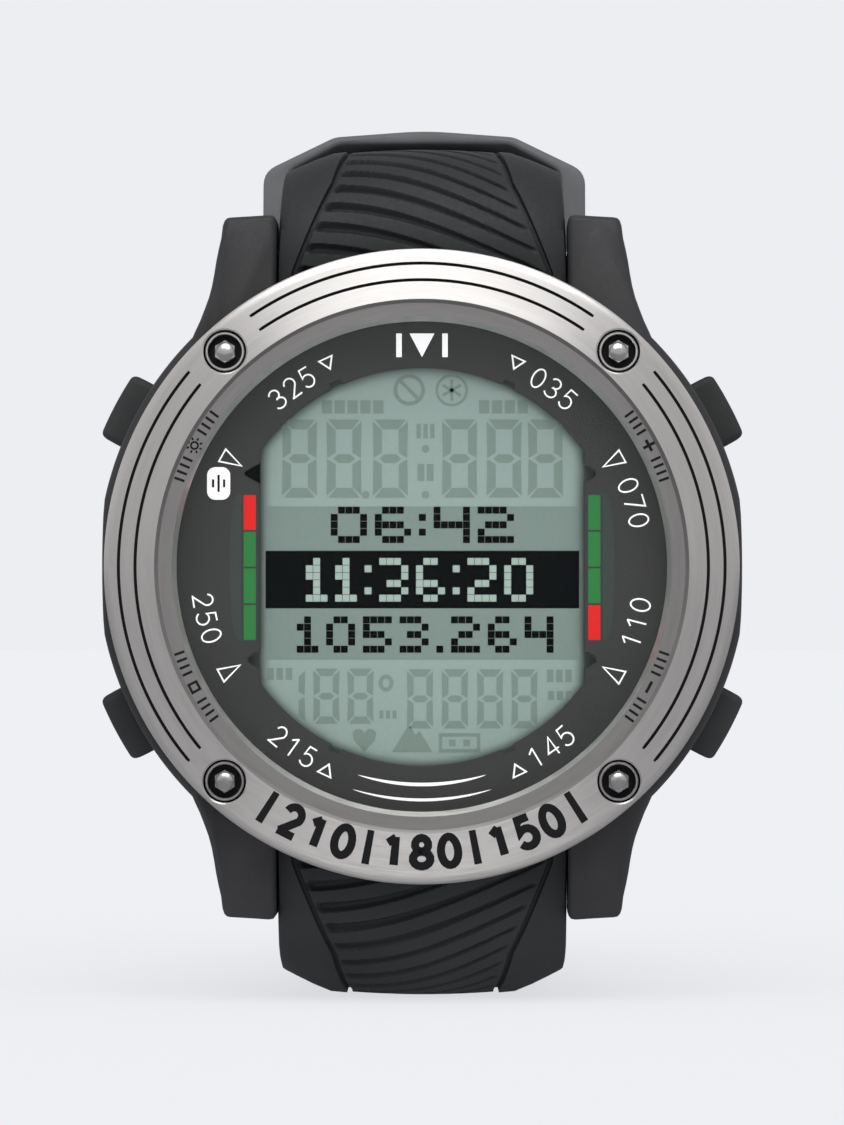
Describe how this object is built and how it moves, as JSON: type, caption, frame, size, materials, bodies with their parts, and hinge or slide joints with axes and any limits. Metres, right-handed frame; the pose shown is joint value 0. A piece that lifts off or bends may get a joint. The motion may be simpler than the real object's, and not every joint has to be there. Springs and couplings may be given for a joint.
{
  "type": "dive computer",
  "caption": "Wrist dive computer with a brushed steel bezel, a dot and segment display, push buttons at the corners and a buckled ribbed rubber strap.",
  "frame": {"origin": "middle of the strap's flat foot, on which the watch stands upright", "axes": "+Z towards 12 o'clock, +X towards 3 o'clock, the dial faces -Y and +Y runs back into the strap loop"},
  "size_m": [0.049, 0.0716, 0.0686],
  "materials": {
    "bezel_steel": "brushed",
    "screw_steel": "satin",
    "crystal": "polished",
    "seal_rubber": "matt",
    "dial_print": "matt",
    "lcd": "satin",
    "light_guide": "satin",
    "zebra": "matt",
    "board": "satin",
    "chip": "matt",
    "sensor_steel": "satin",
    "cell_steel": "satin",
    "contact_brass": "satin",
    "case_polymer": "fine grain",
    "button_rubber": "matt",
    "spring_steel": "drawn",
    "strap_rubber": "matt, ribbed",
    "keeper_rubber": "matt",
    "buckle_steel": "brushed"
  },
  "bodies": {
    "watch": {"bezel_ring": "bezel_steel", "bezel_screw_1": "screw_steel", "bezel_screw_2": "screw_steel", "bezel_screw_3": "screw_steel", "bezel_screw_4": "screw_steel", "case_back_screw_1": "screw_steel", "case_back_screw_2": "screw_steel", "case_back_screw_3": "screw_steel", "case_back_screw_4": "screw_steel", "crystal": "crystal", "crystal_gasket": "seal_rubber", "case_back_seal": "seal_rubber", "button_seal_light": "seal_rubber", "button_seal_up": "seal_rubber", "button_seal_select": "seal_rubber", "button_seal_down": "seal_rubber", "dial_ring": "dial_print", "lcd_panel": "lcd", "light_guide": "light_guide", "zebra_strip_top": "zebra", "zebra_strip_bottom": "zebra", "circuit_board": "board", "processor_chip": "chip", "radio_module": "chip", "buzzer": "chip", "pressure_sensor": "sensor_steel", "switch_light": "sensor_steel", "switch_up": "sensor_steel", "switch_select": "sensor_steel", "switch_down": "sensor_steel", "battery": "cell_steel", "battery_contact_plus": "contact_brass", "battery_contact_minus": "contact_brass", "case_body": "case_polymer", "case_back": "case_polymer", "button_spring_light": "spring_steel", "button_spring_up": "spring_steel", "button_spring_select": "spring_steel", "button_spring_down": "spring_steel", "spring_bar_upper": "spring_steel", "spring_bar_lower": "spring_steel", "strap_upper": "strap_rubber", "strap_lower": "strap_rubber", "keeper_fixed": "keeper_rubber", "buckle_bar": "buckle_steel"},
    "battery_cap_seal": {"battery_cap_seal": "seal_rubber"},
    "battery_cap": {"battery_cap": "case_polymer"},
    "keeper_free": {"keeper_free": "keeper_rubber"},
    "buckle_frame": {"buckle_frame": "buckle_steel"},
    "buckle_tongue": {"buckle_tongue": "buckle_steel"},
    "button_light": {"button_light": "button_rubber", "button_clip_light": "spring_steel"},
    "button_up": {"button_up": "button_rubber", "button_clip_up": "spring_steel"},
    "button_select": {"button_select": "button_rubber", "button_clip_select": "spring_steel"},
    "button_down": {"button_down": "button_rubber", "button_clip_down": "spring_steel"}
  },
  "joints": [
    {"name": "button_light_press", "type": "slide", "parent": "watch", "child": "button_light", "axis": [0.8829, 0, -0.4695], "range_m": [0, 0.0009], "stiffness_N_per_m": 400, "springref_m": -0.002, "deforming": ["button_spring_light"]},
    {"name": "button_up_press", "type": "slide", "parent": "watch", "child": "button_up", "axis": [-0.8829, 0, -0.4695], "range_m": [0, 0.0009], "stiffness_N_per_m": 400, "springref_m": -0.002, "deforming": ["button_spring_up"]},
    {"name": "button_select_press", "type": "slide", "parent": "watch", "child": "button_select", "axis": [0.8829, 0, 0.4695], "range_m": [0, 0.0009], "stiffness_N_per_m": 400, "springref_m": -0.002, "deforming": ["button_spring_select"]},
    {"name": "button_down_press", "type": "slide", "parent": "watch", "child": "button_down", "axis": [-0.8829, 0, 0.4695], "range_m": [0, 0.0009], "stiffness_N_per_m": 400, "springref_m": -0.002, "deforming": ["button_spring_down"]},
    {"name": "battery_cap_lift", "type": "slide", "parent": "watch", "child": "battery_cap_seal", "axis": [0, 1, 0], "range_m": [0, 0.0015]},
    {"name": "battery_cap_turn", "type": "hinge", "parent": "battery_cap_seal", "child": "battery_cap", "pos_m": [0, -0.0105, 0.0332], "axis": [0, 1, 0], "range_deg": [0, 720]},
    {"name": "keeper_free_slide", "type": "slide", "parent": "watch", "child": "keeper_free", "axis": [0, 0.9765, -0.2155], "range_m": [-0.001, 0.005]},
    {"name": "buckle_frame_swing", "type": "hinge", "parent": "watch", "child": "buckle_frame", "pos_m": [0, 0.03745, 0.0316], "axis": [1, 0, 0], "range_deg": [0, 15]},
    {"name": "buckle_tongue_swing", "type": "hinge", "parent": "buckle_frame", "child": "buckle_tongue", "pos_m": [0, 0.03745, 0.0316], "axis": [1, 0, 0], "range_deg": [0, 8]}
  ],
  "couplings": [
    {"joint": "battery_cap_turn", "follows": "battery_cap_lift", "rad_per_m": 8377.6}
  ]
}
